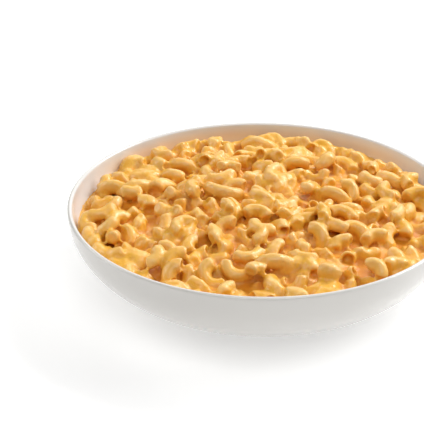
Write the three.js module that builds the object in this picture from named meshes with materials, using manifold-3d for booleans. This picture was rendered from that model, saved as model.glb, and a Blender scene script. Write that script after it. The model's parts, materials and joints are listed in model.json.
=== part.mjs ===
// A wide white pasta bowl filled with elbow macaroni in a thick cheese sauce.
// Millimetres, +Z up, origin at the centre of the bowl's foot, on the surface that it stands on.
// Two pieces: the bowl, turned about Z, and the heap, which is a bed of sauce with the elbows
// that show on top of it fused on. The bowl and the heap stay WALL_GAP apart.

import * as THREE from "three";
import { mergeVertices } from "three/addons/utils/BufferGeometryUtils.js";
import Module from "manifold-3d";

const wasm = await Module();
wasm.setup();

// The bowl: both walls are quarter ellipses that stand upright at the rim and lie flat at BASE_RADIUS.
const RIM_RADIUS = 120;
const BOWL_HEIGHT = 54;
const RIM_THICKNESS = 3.2;
const BASE_RADIUS = 50;
const UNDERSIDE_HEIGHT = 1.6;
const FLOOR_HEIGHT = 6;
const FOOT_RADIUS = 60;
const FOOT_WIDTH = 5;
const FOOT_CHAMFER = 0.6;
const BOWL_TURNS = 48;
const OUTSIDE_STEPS = 8;
const INSIDE_STEPS = 6;

// The heap: its level falls from the crown to the wall, and the sauce bed lies SAUCE_DEPTH under it.
const WALL_GAP = 0.35;
const CROWN_LEVEL = 56;
const EDGE_LEVEL = 47;
const SAUCE_DEPTH = 7;
const BED_TURNS = 24;
const BED_RINGS = 5;

// An elbow: a tube bent round an arc. It is drawn with TUBE_SIDES sides and a bend every JOINT_ANGLE,
// and takes the room of BEADS beads along its centre line. It stays WALL_ROOM clear of the bowl.
const TUBE_RADIUS = 4;
const BEND_RADIUS = [6, 9.5];
const BEND_SWEEP = [1.7, 3.4];
const TUBE_SIDES = 5;
const JOINT_ANGLE = 0.9;
const BEADS = 7;
const WALL_ROOM = 1.2;

// The elbows that stand out in the heap, laid first. Each row is where the elbow lies, its heading,
// pitch and roll in degrees, its bend radius and its sweep in degrees.
const STANDOUT_RISE = 1.5;
const STANDOUTS = [
  [-52, 58, -33, -77, -67, 10, 218],
  [-95, 28, -104, -77, 9, 7, 210],
  [-81, 26, -85, -59, 14, 10.5, 122],
  [-24, 13, -90, -22, -12, 11, 132],
  [-26, 34, -71, 5, 5, 9, 122],
  [-56, 2, -88, 62, 30, 6.5, 203],
  [-19, -12, -21, 18, 10, 8, 218],
  [-57, -34, -90, 54, -32, 6, 199],
  [-28, -81, -157, 20, -31, 7.5, 197],
  [-14, -78, -119, 29, -17, 8, 145],
  [10, -71, -71, -66, -21, 11, 131],
  [46, 13, -45, -74, -67, 10, 150],
  [34, -6, -83, -5, 20, 11, 118],
  [-2, 1, -68, 64, -26, 7, 218],
  [13, -5, -18, -18, -69, 11, 95],
  [0, 98, -69, -58, -32, 11, 156],
  [22, 62, -99, -65, 16, 9, 116],
  [35, 47, -88, 44, 14, 6, 187],
  [87, 43, -68, -48, -54, 11, 163],
];

// The rest fill in between: spots spread evenly over the heap, taken STRIDE apart. At each spot the
// best of TRIES throws is kept, each up to STRAY off the spot. Its top comes within RISE of the heap's
// level, or it is raised onto those under it, by MOST_RAISED at most. Elbows sink NESTLE into each other.
const SPOTS = 240;
const STRIDE = 97;
const GOLDEN_ANGLE = Math.PI * (3 - Math.sqrt(5));
const TRIES = 60;
const STRAY = 4;
const RISE = [-2.5, 0.3];
const MOST_RAISED = 5.5;
const NESTLE = 0.14;
const LARGEST_PITCH = 0.9;
const LARGEST_ROLL = 0.9;
const SEED = 15;

const material = (color, roughness) =>
  new THREE.MeshStandardMaterial({ color, roughness, metalness: 0 });
const glaze = material(0xf3f1ec, 0.22);
const cheese = material(0xeba84e, 0.38);

// Park and Miller's generator: the same draws in every run.
function makeRandom(seed) {
  let state = seed;
  return (low = 0, high = 1) => {
    state = (state * 16807) % 2147483647;
    return low + ((high - low) * state) / 2147483647;
  };
}

// A quarter ellipse from the upright end at (outer, top) to the flat end at (inner, bottom).
function wallCurve(outer, top, inner, bottom, steps) {
  return Array.from({ length: steps + 1 }, (_, i) => {
    const t = (i / steps) * (Math.PI / 2);
    return new THREE.Vector2(
      inner + (outer - inner) * Math.cos(t),
      bottom + (top - bottom) * (1 - Math.sin(t)),
    );
  });
}

// Radius of the bowl's inner wall at a height.
function innerRadius(z) {
  const drop = 1 - (z - FLOOR_HEIGHT) / (BOWL_HEIGHT - FLOOR_HEIGHT);
  const reach = RIM_RADIUS - RIM_THICKNESS - BASE_RADIUS;
  return BASE_RADIUS + reach * Math.sqrt(Math.max(0, 1 - drop * drop));
}

const heapLevel = (x, y) =>
  CROWN_LEVEL - (CROWN_LEVEL - EDGE_LEVEL) * (Math.hypot(x, y) / RIM_RADIUS) ** 2;

function turned(profile, turns) {
  return new THREE.LatheGeometry(profile, turns).rotateX(Math.PI / 2);
}

// One profile round the whole wall: foot, outside, rounded lip, inside and floor.
function makeBowl() {
  const lip = RIM_THICKNESS / 2;
  const lipCentre = RIM_RADIUS - lip;
  const lipBottom = BOWL_HEIGHT - lip;
  const lipSlope = lip * Math.SQRT1_2;
  const footInner = FOOT_RADIUS - FOOT_WIDTH;
  const outside = wallCurve(RIM_RADIUS, lipBottom, BASE_RADIUS, UNDERSIDE_HEIGHT, OUTSIDE_STEPS);
  const inside = wallCurve(
    RIM_RADIUS - RIM_THICKNESS,
    lipBottom,
    BASE_RADIUS,
    FLOOR_HEIGHT,
    INSIDE_STEPS,
  );
  const profile = [
    new THREE.Vector2(0, UNDERSIDE_HEIGHT),
    new THREE.Vector2(footInner, UNDERSIDE_HEIGHT),
    new THREE.Vector2(footInner + FOOT_CHAMFER, 0),
    new THREE.Vector2(FOOT_RADIUS - FOOT_CHAMFER, 0),
    ...outside.filter((p) => p.x > FOOT_RADIUS + 1).reverse(),
    new THREE.Vector2(lipCentre + lipSlope, lipBottom + lipSlope),
    new THREE.Vector2(lipCentre, BOWL_HEIGHT),
    new THREE.Vector2(lipCentre - lipSlope, lipBottom + lipSlope),
    ...inside,
    new THREE.Vector2(0, FLOOR_HEIGHT),
  ];
  const bowl = new THREE.Mesh(turned(profile, BOWL_TURNS), glaze);
  bowl.name = "bowl";
  return bowl;
}

// The centre line of an elbow, in its own plane, with its centroid at the origin.
class Bend extends THREE.Curve {
  constructor(radius, sweep) {
    super();
    this.radius = radius;
    this.sweep = sweep;
    this.centre = (radius * Math.sin(sweep / 2)) / (sweep / 2);
  }
  getPoint(t, target = new THREE.Vector3()) {
    const angle = this.sweep * (t - 0.5);
    return target.set(
      this.radius * Math.cos(angle) - this.centre,
      this.radius * Math.sin(angle),
      0,
    );
  }
}

function makeElbow(x, y, heading, pitch, roll, radius, sweep) {
  const bend = new Bend(radius, sweep);
  const place = new THREE.Matrix4()
    .makeRotationFromEuler(new THREE.Euler(roll, pitch, heading, "ZYX"))
    .setPosition(x, y, 0);
  const beads = Array.from({ length: BEADS }, (_, i) =>
    bend.getPoint(i / (BEADS - 1)).applyMatrix4(place),
  );
  return { bend, place, beads };
}

function throwElbow(random, x, y) {
  return makeElbow(
    x + STRAY * random(-1, 1),
    y + STRAY * random(-1, 1),
    random(0, 2 * Math.PI),
    LARGEST_PITCH * random(-1, 1),
    LARGEST_ROLL * random(-1, 1),
    random(...BEND_RADIUS),
    random(...BEND_SWEEP),
  );
}

// The height at which the elbow's top comes to a given rise over the heap's level.
const heightAtRise = (elbow, rise) =>
  Math.min(...elbow.beads.map((b) => heapLevel(b.x, b.y) + rise - TUBE_RADIUS - b.z));

// The lowest height at which the elbow clears the beads that are laid under it.
function clearHeight(elbow, under) {
  const contact = 2 * TUBE_RADIUS * (1 - NESTLE);
  let height = -Infinity;
  for (const bead of elbow.beads)
    for (const other of under) {
      const gap = (bead.x - other.x) ** 2 + (bead.y - other.y) ** 2;
      if (gap < contact * contact)
        height = Math.max(height, other.z + Math.sqrt(contact * contact - gap) - bead.z);
    }
  return height;
}

const fitsInBowl = (elbow, height) =>
  elbow.beads.every(
    (b) => Math.hypot(b.x, b.y) + TUBE_RADIUS + WALL_ROOM < innerRadius(b.z + height - TUBE_RADIUS / 2),
  );

function lay(elbow, height, elbows) {
  elbow.place.premultiply(new THREE.Matrix4().makeTranslation(0, 0, height));
  elbow.beads.forEach((b) => (b.z += height));
  elbows.push(elbow);
}

function layStandouts(elbows) {
  for (const [x, y, heading, pitch, roll, radius, sweep] of STANDOUTS) {
    const [h, p, r, s] = [heading, pitch, roll, sweep].map((a) => THREE.MathUtils.degToRad(a));
    const elbow = makeElbow(x, y, h, p, r, radius, s);
    lay(elbow, heightAtRise(elbow, STANDOUT_RISE), elbows);
  }
}

function layAt(random, x, y, elbows) {
  const under = elbows.flatMap((elbow) => elbow.beads);
  const rise = random(...RISE);
  let best = { raised: MOST_RAISED };
  for (let i = 0; i < TRIES; i++) {
    const elbow = throwElbow(random, x, y);
    const wanted = heightAtRise(elbow, rise);
    const height = Math.max(wanted, clearHeight(elbow, under));
    const raised = height - wanted;
    if (raised < best.raised && fitsInBowl(elbow, height)) best = { elbow, height, raised };
  }
  if (best.elbow) lay(best.elbow, best.height, elbows);
}

function layElbows() {
  const elbows = [];
  layStandouts(elbows);
  const random = makeRandom(SEED);
  const reach = innerRadius(EDGE_LEVEL) - TUBE_RADIUS;
  for (let i = 0; i < SPOTS; i++) {
    const spot = (i * STRIDE) % SPOTS;
    const distance = reach * Math.sqrt((spot + 0.5) / SPOTS);
    const bearing = spot * GOLDEN_ANGLE;
    layAt(random, distance * Math.cos(bearing), distance * Math.sin(bearing), elbows);
  }
  return elbows;
}

// A flat-sided tube with the section area of the round one, and flat ends.
function tubeGeometry(bend) {
  const turn = (2 * Math.PI) / TUBE_SIDES;
  const cornerRadius = TUBE_RADIUS * Math.sqrt(turn / Math.sin(turn));
  const corners = Array.from(
    { length: TUBE_SIDES },
    (_, i) => new THREE.Vector2(cornerRadius * Math.cos(turn * i), cornerRadius * Math.sin(turn * i)),
  );
  return new THREE.ExtrudeGeometry(new THREE.Shape(corners), {
    steps: Math.round(bend.sweep / JOINT_ANGLE),
    extrudePath: bend,
    curveSegments: 1,
  });
}

function solidOf(geometry) {
  const bare = geometry.clone();
  bare.deleteAttribute("normal");
  bare.deleteAttribute("uv");
  const merged = mergeVertices(bare, 1e-3);
  const mesh = new wasm.Mesh({
    numProp: 3,
    vertProperties: new Float32Array(merged.attributes.position.array),
    triVerts: new Uint32Array(merged.index.array),
  });
  return new wasm.Manifold(mesh);
}

function geometryOf(solid) {
  const { vertProperties, triVerts } = solid.getMesh();
  return new THREE.BufferGeometry()
    .setAttribute("position", new THREE.BufferAttribute(vertProperties, 3))
    .setIndex(new THREE.BufferAttribute(triVerts, 1));
}

// The sauce and all that it buries. Its outside has the steps of the bowl's inside, WALL_GAP clear of it.
function makeBed() {
  const outside = wallCurve(
    RIM_RADIUS - RIM_THICKNESS - WALL_GAP,
    BOWL_HEIGHT - RIM_THICKNESS / 2,
    BASE_RADIUS,
    FLOOR_HEIGHT + WALL_GAP,
    INSIDE_STEPS,
  );
  const edgeHeight = EDGE_LEVEL - SAUCE_DEPTH;
  const upper = outside.findLastIndex((p) => p.y > edgeHeight);
  const [above, below] = [outside[upper], outside[upper + 1]];
  const edge = below.clone().lerp(above, (edgeHeight - below.y) / (above.y - below.y));
  const top = Array.from({ length: BED_RINGS }, (_, i) => {
    const r = edge.x * (1 - (i + 1) / BED_RINGS);
    return new THREE.Vector2(r, heapLevel(r, 0) - SAUCE_DEPTH);
  });
  const profile = [
    new THREE.Vector2(0, FLOOR_HEIGHT + WALL_GAP),
    ...outside.slice(upper + 1).reverse(),
    edge,
    ...top,
  ];
  return turned(profile, BED_TURNS);
}

// What fusing leaves loose is dropped: only the largest body stays.
function makeHeap() {
  const bed = solidOf(makeBed());
  const pieces = layElbows().map(({ bend, place }) =>
    solidOf(tubeGeometry(bend).applyMatrix4(place)),
  );
  const fused = pieces.reduce((whole, piece) => whole.add(piece), bed);
  const [heapSolid] = fused.decompose().sort((a, b) => b.volume() - a.volume());
  const heap = new THREE.Mesh(geometryOf(heapSolid), cheese);
  heap.name = "macaroni";
  return heap;
}

const macAndCheese = new THREE.Group();
macAndCheese.add(makeBowl(), makeHeap());

export default macAndCheese;
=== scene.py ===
# A wide white pasta bowl filled with elbow macaroni in a thick cheese sauce.
# Metres, +Z up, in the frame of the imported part, from the table upwards.
import json
import math

import bpy
import numpy as np
from mathutils import Matrix, Vector, noise
from mathutils.kdtree import KDTree

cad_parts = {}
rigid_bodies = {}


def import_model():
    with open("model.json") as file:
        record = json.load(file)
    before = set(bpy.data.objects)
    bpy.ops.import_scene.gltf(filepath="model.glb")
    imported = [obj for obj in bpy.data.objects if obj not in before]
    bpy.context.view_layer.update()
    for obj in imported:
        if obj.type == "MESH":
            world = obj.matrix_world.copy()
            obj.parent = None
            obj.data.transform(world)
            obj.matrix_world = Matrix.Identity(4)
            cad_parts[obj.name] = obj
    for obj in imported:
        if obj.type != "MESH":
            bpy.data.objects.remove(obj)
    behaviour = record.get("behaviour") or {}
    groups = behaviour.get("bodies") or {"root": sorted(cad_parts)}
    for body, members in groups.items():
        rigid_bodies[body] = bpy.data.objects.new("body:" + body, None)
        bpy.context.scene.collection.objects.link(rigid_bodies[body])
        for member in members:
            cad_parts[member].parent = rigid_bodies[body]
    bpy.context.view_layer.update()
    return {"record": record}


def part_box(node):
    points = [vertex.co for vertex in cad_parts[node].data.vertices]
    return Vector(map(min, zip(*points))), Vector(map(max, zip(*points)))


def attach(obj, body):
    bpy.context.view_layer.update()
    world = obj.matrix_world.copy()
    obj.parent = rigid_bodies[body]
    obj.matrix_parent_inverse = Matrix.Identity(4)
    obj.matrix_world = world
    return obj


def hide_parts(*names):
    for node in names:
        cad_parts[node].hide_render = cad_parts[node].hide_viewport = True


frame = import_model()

scene = bpy.context.scene
MM = 0.001

# ---------------------------------------------------------------------------------------------
# Camera: a long lens held above the front of the bowl, looking a little to the left, so that
# the right end of the bowl leaves the picture. Its turn, dip and roll are in radians.
CAMERA_PLACE = Vector((0, -720, 415.4)) * MM
CAMERA_TURN = 0.0425
CAMERA_DIP = 0.4758
CAMERA_ROLL = -0.0043
LENS = 110.3
SENSOR_WIDTH = 36
NEAREST_SEEN = 10 * MM

camera = bpy.data.objects.new("camera", bpy.data.cameras.new("camera"))
scene.collection.objects.link(camera)
camera.data.lens = LENS
camera.data.sensor_width = SENSOR_WIDTH
camera.data.clip_start = NEAREST_SEEN
camera.matrix_world = (
    Matrix.Translation(CAMERA_PLACE)
    @ Matrix.Rotation(CAMERA_TURN, 4, "Z")
    @ Matrix.Rotation(math.pi / 2 - CAMERA_DIP, 4, "X")
    @ Matrix.Rotation(CAMERA_ROLL, 4, "Z")
)
scene.camera = camera

# ---------------------------------------------------------------------------------------------
# Studio: a white table, softly lit from below, in a pale room. Five soft lights stand round and
# over the bowl, all above its rim, so that its front curves down into its own shade.
TABLE_SIZE = 8
TABLE_DROP = 0.05 * MM
TABLE_FINISH = {
    "Base Color": (0.75, 0.75, 0.75, 1),
    "Roughness": 0.6,
    "Emission Color": (1, 1, 1, 1),
    "Emission Strength": 0.39,
}
ROOM_COLOUR = (1, 0.985, 0.965, 1)
ROOM_LIGHT = 0.02
LAMP_WHITE = (1, 0.995, 0.985)
LAMP_COOL = (0.98, 0.99, 1)
LAMP_WARM = (1, 0.98, 0.95)

scene.view_settings.view_transform = "Standard"
scene.world = bpy.data.worlds.new("room")
scene.world.use_nodes = True
room = scene.world.node_tree.nodes["Background"]
room.inputs["Color"].default_value = ROOM_COLOUR
room.inputs["Strength"].default_value = ROOM_LIGHT


def soft_light(name, place, size, power, colour):
    """A square light that faces the middle of the bowl."""
    lamp = bpy.data.lights.new(name, "AREA")
    lamp.size = size
    lamp.energy = power
    lamp.color = colour
    stand = bpy.data.objects.new(name, lamp)
    scene.collection.objects.link(stand)
    stand.location = place
    stand.rotation_euler = (-place).to_track_quat("-Z", "Y").to_euler()


soft_light("front_light", Vector((0, -1.0, 1.6)), size=1.4, power=18, colour=LAMP_WHITE)
soft_light("back_light", Vector((0, 1.4, 0.95)), size=1.2, power=8, colour=LAMP_WHITE)
soft_light("left_light", Vector((-1.4, 0.4, 0.9)), size=1.0, power=10.5, colour=LAMP_WHITE)
soft_light("right_light", Vector((1.4, 0.4, 0.9)), size=1.0, power=16, colour=LAMP_COOL)
soft_light("shoulder_light", Vector((0.8, 0.8, 1.1)), size=0.45, power=14, colour=LAMP_WARM)


def new_material(name, finish):
    """A material and its shader, with the finish's values on the shader's sockets."""
    material = bpy.data.materials.new(name)
    material.use_nodes = True
    shader = material.node_tree.nodes["Principled BSDF"]
    for socket, value in finish.items():
        shader.inputs[socket].default_value = value
    return material, shader


def deselect_all():
    """Leaves edit mode, with nothing selected."""
    if bpy.context.mode != "OBJECT":
        bpy.ops.object.mode_set(mode="OBJECT")
    bpy.ops.object.select_all(action="DESELECT")


deselect_all()
bpy.ops.mesh.primitive_plane_add(size=TABLE_SIZE, location=(0, 0, -TABLE_DROP))
table = bpy.context.object
table.name = "table"
table_white, _ = new_material("table_white", TABLE_FINISH)
table.data.materials.append(table_white)

# ---------------------------------------------------------------------------------------------
# Bowl: one piece of white stoneware, jiggered on a wheel. Its wall curves up from a low foot
# ring to a thin upright rim, and clear glaze covers all but the foot ring that it was fired on.
RIM_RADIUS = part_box("bowl")[1].x
BOWL_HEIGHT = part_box("bowl")[1].z
RIM_THICKNESS = 3.2 * MM
BASE_RADIUS = 50 * MM
UNDERSIDE_HEIGHT = 1.6 * MM
FLOOR_HEIGHT = 6 * MM
FOOT_RADIUS = 60 * MM
FOOT_WIDTH = 5 * MM
FOOT_ROUND = 0.6 * MM
POLE_RADIUS = 4 * MM
BOWL_SIDES = 96
WALL_STEPS = 22
LIP_STEPS = 8


def wall_curve(outer, top, inner, bottom):
    """A quarter ellipse from its upright end at (outer, top) to its flat end at (inner, bottom)."""
    for i in range(WALL_STEPS + 1):
        t = i / WALL_STEPS * math.pi / 2
        radius = inner + (outer - inner) * math.cos(t)
        height = bottom + (top - bottom) * (1 - math.sin(t))
        yield radius, height


def turned(name, profile, sides):
    """A closed turned form: a ring extruded and resized along the profile, shut at both ends."""
    deselect_all()
    radius, height = profile[0]
    bpy.ops.mesh.primitive_circle_add(
        vertices=sides, radius=radius, location=(0, 0, height), fill_type="TRIFAN"
    )
    piece = bpy.context.object
    piece.name = name
    bpy.ops.object.transform_apply()
    bpy.ops.object.mode_set(mode="EDIT")
    bpy.ops.mesh.select_mode(type="EDGE")
    bpy.ops.mesh.select_all(action="SELECT")
    bpy.ops.mesh.region_to_loop()
    for next_radius, next_height in profile[1:]:
        bpy.ops.mesh.extrude_edges_move(
            TRANSFORM_OT_translate={"value": (0, 0, next_height - height)}
        )
        share = next_radius / radius
        bpy.ops.transform.resize(value=(share, share, 1), center_override=(0, 0, 0))
        radius, height = next_radius, next_height
    bpy.ops.mesh.extrude_edges_move(TRANSFORM_OT_translate={"value": (0, 0, 0)})
    bpy.ops.mesh.merge(type="CENTER")
    bpy.ops.mesh.select_all(action="SELECT")
    bpy.ops.mesh.normals_make_consistent(inside=False)
    bpy.ops.object.mode_set(mode="OBJECT")
    return piece


def apply_modifier(piece, kind, **settings):
    """Adds a modifier with these settings and applies it."""
    modifier = piece.modifiers.new(kind.lower(), kind)
    for setting, value in settings.items():
        setattr(modifier, setting, value)
    bpy.context.view_layer.objects.active = piece
    bpy.ops.object.modifier_apply(modifier=modifier.name)


lip = RIM_THICKNESS / 2
lip_bottom = BOWL_HEIGHT - lip
foot_inner = FOOT_RADIUS - FOOT_WIDTH
outer_wall = [
    point
    for point in wall_curve(RIM_RADIUS, lip_bottom, BASE_RADIUS, UNDERSIDE_HEIGHT)
    if point[0] > FOOT_RADIUS + MM
]
lip_round = [
    (RIM_RADIUS - lip + lip * math.cos(t), lip_bottom + lip * math.sin(t))
    for t in np.linspace(0, math.pi, LIP_STEPS + 1)[1:-1]
]
inner_wall = list(wall_curve(RIM_RADIUS - RIM_THICKNESS, lip_bottom, BASE_RADIUS, FLOOR_HEIGHT))
bowl_profile = [
    (POLE_RADIUS, UNDERSIDE_HEIGHT),
    (foot_inner - FOOT_ROUND, UNDERSIDE_HEIGHT),
    (foot_inner, UNDERSIDE_HEIGHT - FOOT_ROUND / 2),
    (foot_inner + FOOT_ROUND / 2, FOOT_ROUND / 2),
    (foot_inner + FOOT_ROUND, 0),
    (FOOT_RADIUS - FOOT_ROUND, 0),
    (FOOT_RADIUS, FOOT_ROUND),
    *reversed(outer_wall),
    *lip_round,
    *inner_wall,
    (POLE_RADIUS, FLOOR_HEIGHT),
]
bowl = turned("stoneware_bowl", bowl_profile, BOWL_SIDES)
apply_modifier(bowl, "SUBSURF", levels=1, render_levels=1)
deselect_all()
bowl.select_set(True)
bpy.ops.object.shade_smooth()

# The clear glaze is a little cloudy, ends over the foot ring, and has a faint orange peel. Its
# inner wall is painted lighter and cooler than its outside, as painted light, and the back of the
# inner wall has a painted reflection of the orange food, which fades out over the food's edge and
# towards the front.
GLAZE_WHITE = (0.69, 0.675, 0.646, 1)
GLAZE_WARM = (0.675, 0.658, 0.627, 1)
# Painted light: the glaze of the inner wall is painted lighter and cooler than the outside's.
GLAZE_INSIDE_PAINTED_LIGHT = (0.755, 0.76, 0.77, 1)
BISQUE = (0.66, 0.61, 0.54, 1)
# The food's orange reflection on the back of the inner wall is painted on, as a sauce-coloured
# tint.
PAINTED_FOOD_REFLECTION = (0.83, 0.63, 0.42, 1)
PAINTED_REFLECTION_HEIGHTS = (45 * MM, 53 * MM)
PAINTED_REFLECTION_REACH = (20 * MM, 95 * MM)
GLAZE_CLOUDS = {"scale": 14, "detail": 3}
GLAZE_TINTS = [(0.35, GLAZE_WARM), (0.65, GLAZE_WHITE)]
GLAZE_EDGE = (0.42 * MM, 0.7 * MM)
GLAZE_ROUGHNESS = 0.17
BISQUE_ROUGHNESS = 0.7
ORANGE_PEEL = {"scale": 260, "detail": 2, "strength": 0.12, "depth": 0.15 * MM}


def inner_radius(height):
    """Radius of the bowl's inner wall at a height."""
    drop = 1 - (height - FLOOR_HEIGHT) / (BOWL_HEIGHT - FLOOR_HEIGHT)
    reach = RIM_RADIUS - RIM_THICKNESS - BASE_RADIUS
    return BASE_RADIUS + reach * np.sqrt(np.maximum(0, 1 - drop * drop))


def smooth_share(value, low, high):
    """0 where a value is under low, 1 where it is over high, and smooth between."""
    share = np.clip((value - low) / (high - low), 0, 1)
    return share * share * (3 - 2 * share)


def inside_and_painted_reflection(mesh):
    """Which points lie on the inner wall, and how strong the painted reflection of the food is on
    each.
    """
    x, y, height = np.array([vertex.co for vertex in mesh.vertices]).T
    inside = 1.0 * (np.hypot(x, y) < inner_radius(height) + RIM_THICKNESS / 4)
    painted_reflection = (1 - smooth_share(height, *PAINTED_REFLECTION_HEIGHTS)) * smooth_share(y, *PAINTED_REFLECTION_REACH)
    return inside, inside * painted_reflection


def add_attribute(piece, name, values):
    """Keeps a number for each point of a piece, for its material to read."""
    attribute = piece.data.attributes.new(name, "FLOAT", "POINT")
    attribute.data.foreach_set("value", values)


inside, painted_reflection = inside_and_painted_reflection(bowl.data)
add_attribute(bowl, "inside", inside)
add_attribute(bowl, "painted_reflection", painted_reflection)


def attribute_value(tree, name):
    """The number that the piece keeps under this name."""
    attribute = tree.nodes.new("ShaderNodeAttribute")
    attribute.attribute_name = name
    return attribute.outputs["Fac"]


def pattern(tree, scale, detail):
    """A cloudy value on the piece's own coordinates."""
    place = tree.nodes.new("ShaderNodeTexCoord")
    texture = tree.nodes.new("ShaderNodeTexNoise")
    texture.inputs["Scale"].default_value = scale
    texture.inputs["Detail"].default_value = detail
    tree.links.new(place.outputs["Object"], texture.inputs["Vector"])
    return texture.outputs["Fac"]


def graded(tree, source, stops):
    """Colours laid along a value: stops are (position, colour)."""
    ramp = tree.nodes.new("ShaderNodeValToRGB")
    tree.links.new(source, ramp.inputs["Fac"])
    elements = ramp.color_ramp.elements
    while len(elements) < len(stops):
        elements.new(0.5)
    for element, (position, colour) in zip(elements, stops):
        element.position = position
        element.color = colour
    return ramp.outputs["Color"]


def mixed(tree, first, second, share):
    """Two colours mixed by a share of the second, each one a value or the output of a node."""
    mix = tree.nodes.new("ShaderNodeMix")
    mix.data_type = "RGBA"
    # Of the node's inputs, 0 is the share, and 6 and 7 are the two colours.
    for socket, value in ((mix.inputs[6], first), (mix.inputs[7], second), (mix.inputs[0], share)):
        if isinstance(value, bpy.types.NodeSocket):
            tree.links.new(value, socket)
        else:
            socket.default_value = value
    return mix.outputs[2]


def between(tree, value, low, high, start=0, end=1):
    """Goes smoothly from start to end as a value goes from low to high."""
    ranged = tree.nodes.new("ShaderNodeMapRange")
    ranged.interpolation_type = "SMOOTHSTEP"
    tree.links.new(value, ranged.inputs["Value"])
    ranged.inputs["From Min"].default_value = low
    ranged.inputs["From Max"].default_value = high
    ranged.inputs["To Min"].default_value = start
    ranged.inputs["To Max"].default_value = end
    return ranged.outputs["Result"]


def fine_relief(tree, shader, scale, detail, strength, depth):
    """Puts cloudy relief on a shader, over any that it has."""
    bump = tree.nodes.new("ShaderNodeBump")
    bump.inputs["Strength"].default_value = strength
    bump.inputs["Distance"].default_value = depth
    tree.links.new(pattern(tree, scale, detail), bump.inputs["Height"])
    for link in shader.inputs["Normal"].links:
        tree.links.new(link.from_socket, bump.inputs["Normal"])
    tree.links.new(bump.outputs["Normal"], shader.inputs["Normal"])
    tree.links.new(bump.outputs["Normal"], shader.inputs["Coat Normal"])


white_glaze, glaze_shader = new_material("white_glaze", {})
glaze_tree = white_glaze.node_tree
glaze_colour = graded(glaze_tree, pattern(glaze_tree, **GLAZE_CLOUDS), GLAZE_TINTS)
# The inside's painted light and the food's painted reflection go over the glaze's own colour.
for name, layer in (("inside", GLAZE_INSIDE_PAINTED_LIGHT), ("painted_reflection", PAINTED_FOOD_REFLECTION)):
    glaze_colour = mixed(glaze_tree, glaze_colour, layer, attribute_value(glaze_tree, name))
here = glaze_tree.nodes.new("ShaderNodeTexCoord")
apart = glaze_tree.nodes.new("ShaderNodeSeparateXYZ")
glaze_tree.links.new(here.outputs["Object"], apart.inputs["Vector"])
height = apart.outputs["Z"]
bowl_colour = mixed(glaze_tree, BISQUE, glaze_colour, between(glaze_tree, height, *GLAZE_EDGE))
glaze_tree.links.new(bowl_colour, glaze_shader.inputs["Base Color"])
gloss = between(glaze_tree, height, *GLAZE_EDGE, BISQUE_ROUGHNESS, GLAZE_ROUGHNESS)
glaze_tree.links.new(gloss, glaze_shader.inputs["Roughness"])
fine_relief(glaze_tree, glaze_shader, **ORANGE_PEEL)
bowl.data.materials.append(white_glaze)
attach(bowl, "root")
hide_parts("bowl")

# ---------------------------------------------------------------------------------------------
# Macaroni and cheese: short elbows of extruded pasta, boiled, drained and folded into a thick
# cheese sauce, then spooned in. The sauce coats every elbow, rounds its ends, webs it to its
# neighbours and lies in the gaps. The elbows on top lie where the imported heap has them.
CROWN_LEVEL = 56 * MM
EDGE_LEVEL = 47 * MM
TUBE_RADIUS = 4 * MM
BEND_RADIUS = (6 * MM, 9.5 * MM)
BEND_SWEEP = (1.7, 3.4)
BEADS = 7
WALL_ROOM = 1.2 * MM

# The elbows that stand out: place in millimetres, heading, pitch and roll in degrees, bend
# radius in millimetres and sweep in degrees.
STANDOUT_RISE = 1.5 * MM
STANDOUTS = [
    (-52, 58, -33, -77, -67, 10, 218),
    (-95, 28, -104, -77, 9, 7, 210),
    (-81, 26, -85, -59, 14, 10.5, 122),
    (-24, 13, -90, -22, -12, 11, 132),
    (-26, 34, -71, 5, 5, 9, 122),
    (-56, 2, -88, 62, 30, 6.5, 203),
    (-19, -12, -21, 18, 10, 8, 218),
    (-57, -34, -90, 54, -32, 6, 199),
    (-28, -81, -157, 20, -31, 7.5, 197),
    (-14, -78, -119, 29, -17, 8, 145),
    (10, -71, -71, -66, -21, 11, 131),
    (46, 13, -45, -74, -67, 10, 150),
    (34, -6, -83, -5, 20, 11, 118),
    (-2, 1, -68, 64, -26, 7, 218),
    (13, -5, -18, -18, -69, 11, 95),
    (0, 98, -69, -58, -32, 11, 156),
    (22, 62, -99, -65, 16, 9, 116),
    (35, 47, -88, 44, 14, 6, 187),
    (87, 43, -68, -48, -54, 11, 163),
]

# The rest fill in between, on spots spread evenly over the heap, each the best of some throws.
# NESTLE is the share of a tube's width that two elbows may sink into each other.
SPOTS = 240
STRIDE = 97
GOLDEN_ANGLE = math.pi * (3 - math.sqrt(5))
TRIES = 60
STRAY = 4 * MM
RISE = (-2.5 * MM, 0.3 * MM)
MOST_RAISED = 5.5 * MM
NESTLE = 0.14
LARGEST_PITCH = 0.9
LARGEST_ROLL = 0.9
SEED = 15


def make_random(seed):
    """Park and Miller's generator: the same draws in every run."""
    state = seed

    def draw(low=0.0, high=1.0):
        nonlocal state
        state = state * 16807 % 2147483647
        return low + (high - low) * state / 2147483647

    return draw


def heap_level(x, y):
    """Height of the heap, which falls from its crown to its edge."""
    return CROWN_LEVEL - (CROWN_LEVEL - EDGE_LEVEL) * (x * x + y * y) / RIM_RADIUS**2


def placed(points, elbows):
    """Points given in each elbow's own plane, turned and moved to where the elbow lies."""
    x, y, height, heading, pitch, roll = (column[:, None] for column in elbows.T[:6])
    along, across, off = np.moveaxis(points, -1, 0)
    across, off = (
        across * np.cos(roll) - off * np.sin(roll),
        across * np.sin(roll) + off * np.cos(roll),
    )
    along, off = (
        along * np.cos(pitch) + off * np.sin(pitch),
        off * np.cos(pitch) - along * np.sin(pitch),
    )
    return np.stack(
        (
            x + along * np.cos(heading) - across * np.sin(heading),
            y + along * np.sin(heading) + across * np.cos(heading),
            height + off,
        ),
        -1,
    )


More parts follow.
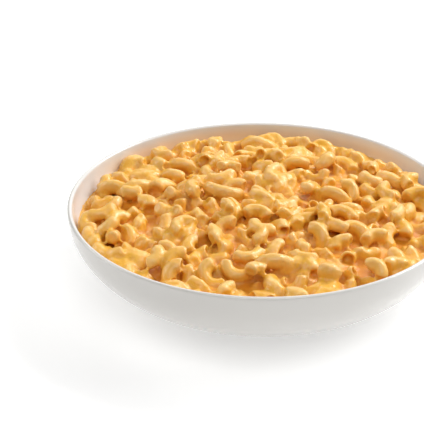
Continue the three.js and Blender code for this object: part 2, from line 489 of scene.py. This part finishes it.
def beads_of(elbows):
    """The room that each elbow takes, as beads along its centre line."""
    bend, sweep = elbows[:, 6:7], elbows[:, 7:8]
    angle = sweep * (np.arange(BEADS) / (BEADS - 1) - 0.5)
    middle = bend * np.sin(sweep / 2) / (sweep / 2)
    line = np.stack((bend * np.cos(angle) - middle, bend * np.sin(angle), 0 * angle), -1)
    return placed(line, elbows)


def height_at_rise(beads, rise):
    """The height at which an elbow's top comes to a given rise over the heap's level."""
    level = heap_level(beads[..., 0], beads[..., 1]) + rise - TUBE_RADIUS
    return (level - beads[..., 2]).min(axis=-1)


def clear_height(beads, under):
    """The lowest height at which each elbow clears the beads that lie under it."""
    contact = 2 * TUBE_RADIUS * (1 - NESTLE)
    apart = ((beads[:, :, None, :2] - under[None, None, :, :2]) ** 2).sum(-1)
    room = np.sqrt(np.maximum(contact * contact - apart, 0))
    heights = under[None, None, :, 2] + room - beads[:, :, None, 2]
    return np.where(apart < contact * contact, heights, -np.inf).max(axis=(1, 2))


def fits_in_bowl(beads, heights, room=WALL_ROOM):
    """Whether each elbow, raised to its height, keeps this room to the wall."""
    reach = np.hypot(beads[..., 0], beads[..., 1]) + TUBE_RADIUS + room
    return (reach < inner_radius(beads[..., 2] + heights[:, None] - TUBE_RADIUS / 2)).all(axis=1)


def throw_elbow(draw, x, y, steepest=LARGEST_PITCH):
    """One throw near a spot: x, y, height, heading, pitch, roll, bend radius and sweep."""
    x = x + STRAY * draw(-1, 1)
    y = y + STRAY * draw(-1, 1)
    heading = draw(0, 2 * math.pi)
    pitch = steepest * draw(-1, 1)
    roll = LARGEST_ROLL * draw(-1, 1)
    return x, y, 0, heading, pitch, roll, draw(*BEND_RADIUS), draw(*BEND_SWEEP)


def spots_over_heap(count, stride, reach):
    """Spots spread evenly over a disc, in an order that jumps about it."""
    for i in range(count):
        spot = i * stride % count
        distance = reach * math.sqrt((spot + 0.5) / count)
        yield distance * math.cos(spot * GOLDEN_ANGLE), distance * math.sin(spot * GOLDEN_ANGLE)


def lay_top_elbows():
    """The elbows that show on the heap, one row each, in the order that they are laid."""
    rows = np.array(STANDOUTS, float)
    standouts = np.column_stack(
        (
            rows[:, :2] * MM,
            0 * rows[:, 0],
            np.radians(rows[:, 2:5]),
            rows[:, 5] * MM,
            np.radians(rows[:, 6]),
        )
    )
    standouts[:, 2] = height_at_rise(beads_of(standouts), STANDOUT_RISE)
    laid = list(standouts)
    under = beads_of(standouts).reshape(-1, 3)
    draw = make_random(SEED)
    for x, y in spots_over_heap(SPOTS, STRIDE, inner_radius(EDGE_LEVEL) - TUBE_RADIUS):
        rise = draw(*RISE)
        throws = np.array([throw_elbow(draw, x, y) for _ in range(TRIES)])
        beads = beads_of(throws)
        wanted = height_at_rise(beads, rise)
        heights = np.maximum(wanted, clear_height(beads, under))
        raised = np.where(fits_in_bowl(beads, heights), heights - wanted, np.inf)
        best = raised.argmin()
        if raised[best] < MOST_RAISED:
            throws[best, 2] = heights[best]
            laid.append(throws[best])
            under = np.vstack((under, beads[best] + (0, 0, heights[best])))
    return np.array(laid)


# More elbows show in the gaps: a ring of them pressed against the wall, some that stand steeply
# between the others, and two layers below, the lowest with little more than its tops out of the
# sauce. A layer's two numbers are the least and the most that its tops lie over the heap's level.
# The ring was pushed up at the back, and none of these elbows reaches into the spaces over the
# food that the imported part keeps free.
WALL_LAYER = (-3.8 * MM, 1.0 * MM)
PUSHED_UP = 2.8 * MM
PUSHED_AT = math.radians(115)
FREE_SPACES = [np.array(opening["box_m"]) for opening in frame["record"]["physics"]["openings"]]
STEEP_LAYER = (-3.5 * MM, -0.5 * MM)
LOWER_LAYERS = [(-7.5 * MM, -4.5 * MM), (-12.5 * MM, -9.5 * MM)]
WALL_SPOTS = 64
WALL_SPOT_INSET = 1.5 * TUBE_RADIUS
STEEP_SPOTS = 110
LOWER_SPOTS = 190
GAP_STRIDE = 77
GAP_TRIES = 40
STEEPEST = 1.5
PRESSED_ROOM = 0.2 * MM
WALL_ZONE = 16 * MM
NEARBY = 30 * MM
GAP_SEED = 41


def overlap(beads, others):
    """How deep each elbow lies in the others, summed over its beads."""
    apart = np.sqrt(((beads[:, :, None, :] - others[None, None, :, :]) ** 2).sum(-1))
    return np.maximum(2 * TUBE_RADIUS - apart, 0).sum(axis=(1, 2))


def spots_along_wall():
    """Spots in a ring along the wall."""
    reach = inner_radius(EDGE_LEVEL) - WALL_SPOT_INSET
    for i in range(WALL_SPOTS):
        bearing = 2 * math.pi * i / WALL_SPOTS
        yield reach * math.cos(bearing), reach * math.sin(bearing)


def pushed_up(x, y):
    """How far the elbows along the wall were pushed up."""
    from_wall = inner_radius(EDGE_LEVEL) - math.hypot(x, y)
    share = max(0, 1 - from_wall / WALL_ZONE) * max(0, math.cos(math.atan2(y, x) - PUSHED_AT))
    return PUSHED_UP * share


def blocks_free_space(beads):
    """Whether each elbow reaches into a space that is kept free."""
    blocked = np.zeros(len(beads), bool)
    for low, high in FREE_SPACES:
        apart = np.linalg.norm(beads - np.clip(beads, low, high), axis=-1)
        blocked |= (apart < TUBE_RADIUS).any(axis=1)
    return blocked


def lay_in_gaps(elbows, spots, rise, draw, steepest=LARGEST_PITCH):
    """Adds an elbow at each spot: the throw that lies least in the ones already there."""
    others = beads_of(elbows).reshape(-1, 3)
    for x, y in spots:
        throws = np.array([throw_elbow(draw, x, y, steepest) for _ in range(GAP_TRIES)])
        rises = pushed_up(x, y) + np.array([[draw(*rise)] for _ in throws])
        throws[:, 2] = height_at_rise(beads_of(throws), rises)
        beads = beads_of(throws)
        near = np.hypot(others[:, 0] - x, others[:, 1] - y) < NEARBY
        least = overlap(beads, others[near])
        fits = fits_in_bowl(beads, 0 * least, PRESSED_ROOM) & ~blocks_free_space(beads)
        least[~fits] = np.inf
        best = least.argmin()
        if least[best] < np.inf:
            elbows = np.vstack((elbows, throws[best]))
            others = np.vstack((others, beads[best]))
    return elbows


# Each elbow is a bent tube with cut ends. The sauce fills most ends to a shallow dimple, and
# leaves some of them hollow. No two are alike: each is a little thicker or thinner than TUBE_RADIUS
# and squeezed a little flat.
TUBE_SIDES = 14
BODY_RINGS = 9
HOLLOW_SHARE = 0.22
HOLLOW_DEPTH = (1.6 * MM, 3.6 * MM)
HOLLOW_ROUND = 0.7 * MM
DIMPLE_DEPTH = (0.0 * MM, 1.0 * MM)
DIMPLE_ROUND = 1.5 * MM
THICKNESS = (0.86, 1.08)
FLATNESS = (0.0, 0.14)
END_SEED = 7


def end_profiles(ends):
    """Inset from the end and radius of each ring, from the middle of the hollow out to the side."""
    depth, rounding = ends[:, :1], ends[:, 1:]
    inward = np.array((1, 0.97, 0.85, 0.5, 0.12))
    outward = np.array((0, 0.35, 0.62, 0.78, 0.9))
    turn = np.radians((0, 22, 45, 67, 90))
    inset = np.hstack((depth * inward, rounding * (1 - np.cos(turn))))
    lip = TUBE_RADIUS - rounding
    return inset, np.hstack((lip * outward, lip + rounding * np.sin(turn)))


def elbow_meshes(elbows):
    """Vertices and quads of all the elbows as closed bent tubes."""
    bend, sweep = elbows[:, 6:7], elbows[:, 7:8]
    draw = make_random(END_SEED)
    ends = np.array(
        [
            (draw(*HOLLOW_DEPTH), HOLLOW_ROUND)
            if draw() < HOLLOW_SHARE
            else (draw(*DIMPLE_DEPTH), DIMPLE_ROUND)
            for _ in range(2 * len(elbows))
        ]
    )
    thickness, flatness, flat_way = np.array(
        [(draw(*THICKNESS), draw(*FLATNESS), draw(0, math.pi)) for _ in elbows]
    ).T[:, :, None]
    first, first_radius = end_profiles(ends[::2])
    last, last_radius = end_profiles(ends[1::2])
    first = first / bend - sweep / 2
    last = sweep / 2 - last / bend
    share = np.linspace(0, 1, BODY_RINGS + 2)[1:-1]
    body = first[:, -1:] + (last[:, -1:] - first[:, -1:]) * share
    angle = np.hstack((first, body, last[:, ::-1]))
    along = np.full(body.shape, TUBE_RADIUS)
    radius = np.hstack((first_radius, along, last_radius[:, ::-1])) * thickness
    turn = np.arange(TUBE_SIDES) * 2 * math.pi / TUBE_SIDES
    squeeze = 1 + flatness * np.cos(2 * (turn - flat_way))
    radius = radius[..., None] * squeeze[:, None, :]
    reach = bend[..., None] + radius * np.cos(turn)
    middle = (bend * np.sin(sweep / 2) / (sweep / 2))[..., None]
    points = np.stack(
        (
            reach * np.cos(angle[..., None]) - middle,
            reach * np.sin(angle[..., None]),
            radius * np.sin(turn),
        ),
        -1,
    )
    count, rings = angle.shape
    vertices = placed(points.reshape(count, -1, 3), elbows).reshape(-1, 3)
    ring = np.arange(rings - 1)[:, None] * TUBE_SIDES
    side = np.arange(TUBE_SIDES)
    after = (side + 1) % TUBE_SIDES
    next_ring = ring + TUBE_SIDES
    quad = np.stack((ring + side, ring + after, next_ring + after, next_ring + side), -1)
    quads = quad.reshape(1, -1, 4) + (np.arange(count) * rings * TUBE_SIDES)[:, None, None]
    return vertices, quads.reshape(-1, 4)


# The sauce that fills the bowl under the elbows, to SAUCE_DEPTH below the heap's level. It climbs
# near the wall, reaches just into it all round, and swells where it pooled: each pool is its
# place, its width and how far it rises, in millimetres.
SAUCE_DEPTH = 10.7 * MM
SAUCE_DEPTH_AT_WALL = 6 * MM
WALL_BAND = 7 * MM
CLIMB_CURVE = 1.5
RIPPLE = 1.2 * MM
RIPPLE_SIZE = 9 * MM
SAUCE_INTO_WALL = 0.3 * MM
SAUCE_SIDES = 96
SAUCE_RINGS = 30
EDGE_STEP = 1 * MM
EDGE_SLACK = 0.1 * MM
POOLS = [
    (37, -68, 13, 5.0),
    (86, -60, 15, 5.5),
    (66, 80, 13, 8.0),
    (-12, 40, 9, 3.0),
    (-60, -60, 10, 3.5),
    (-30, -96, 12, 3.5),
    (40, -12, 12, 2.5),
    (-92, -38, 8, 3.0),
]
# Where sauce was smeared up the wall: bearing and half width in degrees, and how far up in
# millimetres. Where that is negative, the sauce sank along the wall instead.
SMEARS = [
    (50, 9, -3.0),
    (28, 6, -2.0),
    (8, 5, 3.0),
    (92, 6, 3.5),
    (121, 9, 3.5),
    (152, 7, 4.0),
    (238, 7, 3.5),
    (274, 11, 4.5),
    (312, 13, 5.0),
    (338, 8, 4.0),
]
SMEAR_THICKNESS = 4.5 * MM
MERGE_WITHIN = 0.01 * MM


def sauce_level(x, y):
    """Height of the sauce's own surface."""
    swell = sum(
        depth * MM * math.exp(-((x / MM - px) ** 2 + (y / MM - py) ** 2) / width**2)
        for px, py, width, depth in POOLS
    )
    ripple = RIPPLE * noise.noise(Vector((x, y, 0)) / RIPPLE_SIZE)
    from_wall = inner_radius(EDGE_LEVEL) - math.hypot(x, y)
    climb = (SAUCE_DEPTH - SAUCE_DEPTH_AT_WALL) * max(0, 1 - from_wall / WALL_BAND) ** CLIMB_CURVE
    bearing = math.degrees(math.atan2(y, x))
    smear = sum(
        height * MM * math.exp(-(((bearing - middle + 180) % 360 - 180) / width) ** 2)
        for middle, width, height in SMEARS
    )
    smear *= max(0, 1 - from_wall / SMEAR_THICKNESS)
    return heap_level(x, y) - SAUCE_DEPTH + climb + smear + swell + ripple


def sauce_bed():
    """The closed bed of sauce: turned with a flat top, which then goes to the sauce's level."""
    edge_height = EDGE_LEVEL - SAUCE_DEPTH_AT_WALL
    side = [
        (radius + SAUCE_INTO_WALL, height)
        for radius, height in inner_wall
        if height < edge_height - EDGE_STEP
    ]
    edge = inner_radius(edge_height) + SAUCE_INTO_WALL
    top = [(edge * (1 - i / SAUCE_RINGS), edge_height + EDGE_STEP) for i in range(SAUCE_RINGS)]
    bed = turned("sauce_bed", [(POLE_RADIUS, side[-1][1]), *reversed(side), *top], SAUCE_SIDES)
    for vertex in bed.data.vertices:
        x, y, z = vertex.co
        if z > edge_height:
            vertex.co.z = sauce_level(x, y)
            from_axis = math.hypot(x, y)
            if from_axis > edge - EDGE_SLACK:
                rim = inner_radius(vertex.co.z) + SAUCE_INTO_WALL
                vertex.co.xy = Vector((x, y)) * (rim / from_axis)
    return bed


elbows = lay_top_elbows()
draw = make_random(GAP_SEED)
elbows = lay_in_gaps(elbows, spots_along_wall(), WALL_LAYER, draw)
reach = inner_radius(EDGE_LEVEL) - TUBE_RADIUS
spots = spots_over_heap(STEEP_SPOTS, GAP_STRIDE, reach)
elbows = lay_in_gaps(elbows, spots, STEEP_LAYER, draw, STEEPEST)
for rise in LOWER_LAYERS:
    spots = spots_over_heap(LOWER_SPOTS, GAP_STRIDE, reach)
    elbows = lay_in_gaps(elbows, spots, rise, draw)
vertices, quads = elbow_meshes(elbows)
mesh = bpy.data.meshes.new("macaroni_in_sauce")
mesh.from_pydata(vertices, [], quads)
macaroni = bpy.data.objects.new("macaroni_in_sauce", mesh)
scene.collection.objects.link(macaroni)
bed = sauce_bed()
deselect_all()
bed.select_set(True)
macaroni.select_set(True)
bpy.context.view_layer.objects.active = macaroni
bpy.ops.object.join()
bpy.ops.object.mode_set(mode="EDIT")
bpy.ops.mesh.select_all(action="SELECT")
bpy.ops.mesh.remove_doubles(threshold=MERGE_WITHIN)
bpy.ops.mesh.normals_make_consistent(inside=False)
bpy.ops.object.mode_set(mode="OBJECT")

# Sauce in the gaps: the whole is swollen, fused, and drawn in again by as much but for the coat,
# with more sauce in some places than in others. Then it gets lumps.
LEAST_SAUCE = 0.5 * MM
MOST_SAUCE = 1.5 * MM
SAUCE_PATCH = 16 * MM
SAUCE_COAT = 0.2 * MM
LUMPS = [(7.5 * MM, 1.5 * MM), (2.7 * MM, 0.4 * MM)]
VOXEL = 0.62 * MM
MOST_TRIANGLES = 190_000


def push_out(piece, size, low, high):
    """Moves the surface out by low to high, as a cloud pattern of this size says."""
    clouds = bpy.data.textures.new("clouds", "CLOUDS")
    clouds.noise_scale = size
    apply_modifier(
        piece,
        "DISPLACE",
        texture=clouds,
        texture_coords="LOCAL",
        strength=high - low,
        mid_level=low / (low - high),
    )


push_out(macaroni, SAUCE_PATCH, LEAST_SAUCE, MOST_SAUCE)
apply_modifier(macaroni, "REMESH", mode="VOXEL", voxel_size=VOXEL)
push_out(macaroni, SAUCE_PATCH, SAUCE_COAT - LEAST_SAUCE, SAUCE_COAT - MOST_SAUCE)
apply_modifier(macaroni, "REMESH", mode="VOXEL", voxel_size=VOXEL)
for size, relief in LUMPS:
    push_out(macaroni, size, -relief / 2, relief / 2)
apply_modifier(macaroni, "SMOOTH", factor=0.5, iterations=2)
share = MOST_TRIANGLES / (2 * len(macaroni.data.polygons))
apply_modifier(macaroni, "DECIMATE", ratio=share)

# Specks of sauce that the fusing left loose are taken away: all that isn't joined to the bottom.
bpy.ops.object.mode_set(mode="EDIT")
bpy.ops.mesh.select_mode(type="VERT")
bpy.ops.mesh.select_all(action="DESELECT")
bpy.ops.object.mode_set(mode="OBJECT")
lowest = min(macaroni.data.vertices, key=lambda vertex: vertex.co.z)
lowest.select = True
bpy.ops.object.mode_set(mode="EDIT")
bpy.ops.mesh.select_linked()
bpy.ops.mesh.select_all(action="INVERT")
bpy.ops.mesh.delete(type="VERT")
bpy.ops.object.mode_set(mode="OBJECT")
deselect_all()
macaroni.select_set(True)
bpy.ops.object.shade_smooth()

# The sauce's colour is painted deeper and darker where the surface lies back or deep in the heap,
# as painted shade, and paler where it stands out, as painted light. The attribute "relief" says how
# far
# each point stands out: 0.5 is level. The attribute "coat" says how pale the sauce is on the
# nearest elbow.
SMOOTHING_STEPS = 24
MOST_RELIEF = 3.2 * MM
SHADED_FROM = 4 * MM
SHADED_TO = 12 * MM
SHADED_SHARE = 0.3
COAT_SEED = 5


def relief_of(mesh):
    """Each point's height over a smoothed copy of the surface, less in the depth of the heap."""
    count = len(mesh.vertices)
    points = np.empty(count * 3)
    mesh.vertices.foreach_get("co", points)
    points = points.reshape(-1, 3)
    normals = np.empty(count * 3)
    mesh.vertices.foreach_get("normal", normals)
    edges = np.empty(len(mesh.edges) * 2, int)
    mesh.edges.foreach_get("vertices", edges)
    first, last = edges.reshape(-1, 2).T
    degree = np.bincount(edges, minlength=count)
    smooth = points
    for _ in range(SMOOTHING_STEPS):
        smooth = np.column_stack(
            [
                np.bincount(first, axis[last], count) + np.bincount(last, axis[first], count)
                for axis in smooth.T
            ]
        )
        smooth /= degree[:, None]
    height = ((points - smooth) * normals.reshape(-1, 3)).sum(axis=1)
    depth = heap_level(points[:, 0], points[:, 1]) - points[:, 2]
    shaded = np.clip((depth - SHADED_FROM) / (SHADED_TO - SHADED_FROM), 0, 1) * SHADED_SHARE
    return np.clip(0.5 + height / (2 * MOST_RELIEF) - shaded, 0, 1)


def coat_of(mesh):
    """A draw from 0 to 1 for each point, the same for all that lie nearest the same elbow."""
    beads = beads_of(elbows)
    draw = make_random(COAT_SEED)
    coats = [draw() for _ in elbows]
    tree = KDTree(len(elbows) * BEADS)
    for i, bead in enumerate(beads.reshape(-1, 3)):
        tree.insert(bead, i)
    tree.balance()
    return [coats[tree.find(vertex.co)[1] // BEADS] for vertex in mesh.vertices]


add_attribute(macaroni, "relief", relief_of(macaroni.data))
add_attribute(macaroni, "coat", coat_of(macaroni.data))

SAUCE_DEEP_AND_SHADE = (0.63, 0.23, 0.008, 1)
SAUCE = (0.79, 0.415, 0.044, 1)
SAUCE_PALE_AND_LIT = (0.845, 0.525, 0.165, 1)
SAUCE_YELLOW = (0.80, 0.44, 0.05, 1)
# Painted shade and light: along the relief the sauce goes from deep in the gaps to pale on what
# stands out.
PAINTED_SHADE_AND_LIGHT_TINTS = [(0.2, SAUCE_DEEP_AND_SHADE), (0.42, SAUCE), (0.6, SAUCE), (0.9, SAUCE_PALE_AND_LIT)]
SAUCE_PATCHES = {"scale": 90, "detail": 3}
WRINKLES = {"scale": 420, "detail": 3, "strength": 0.5, "depth": 0.7 * MM}
GRAIN = {"scale": 1300, "detail": 2, "strength": 0.35, "depth": 0.2 * MM}
SAUCE_FINISH = {
    "Specular IOR Level": 0.46,
    "Subsurface Weight": 0.3,
    "Subsurface Radius": (1.0, 0.7, 0.35),
    "Subsurface Scale": 2.5 * MM,
    "Coat Weight": 0.18,
    "Coat Roughness": 0.16,
}
# As the patches, coat or relief go from the first number to the second, the share of the colour or
# the roughness goes from the third to the fourth.
YELLOW_BY_PATCHES = (0.45, 0.7, 0, 0.6)
PALE_BY_COAT = (0.45, 1, 0, 0.35)
DEEP_BY_COAT = (0.5, 0, 0, 0.15)
ROUGH_BY_RELIEF = (0.15, 0.5, 0.6, 0.36)

cheese_sauce, sauce_shader = new_material("cheese_sauce", SAUCE_FINISH)
sauce_tree = cheese_sauce.node_tree
relief = attribute_value(sauce_tree, "relief")
coat = attribute_value(sauce_tree, "coat")
patches = pattern(sauce_tree, **SAUCE_PATCHES)
# The sauce's colour starts from the painted shade and light along the relief.
sauce_colour = graded(sauce_tree, relief, PAINTED_SHADE_AND_LIGHT_TINTS)
for value, tint, shares in (
    (patches, SAUCE_YELLOW, YELLOW_BY_PATCHES),
    (coat, SAUCE_PALE_AND_LIT, PALE_BY_COAT),
    (coat, SAUCE_DEEP_AND_SHADE, DEEP_BY_COAT),
):
    sauce_colour = mixed(sauce_tree, sauce_colour, tint, between(sauce_tree, value, *shares))
sauce_tree.links.new(sauce_colour, sauce_shader.inputs["Base Color"])
roughness = between(sauce_tree, relief, *ROUGH_BY_RELIEF)
sauce_tree.links.new(roughness, sauce_shader.inputs["Roughness"])
fine_relief(sauce_tree, sauce_shader, **WRINKLES)
fine_relief(sauce_tree, sauce_shader, **GRAIN)
macaroni.data.materials.append(cheese_sauce)
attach(macaroni, "root")
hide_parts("macaroni")
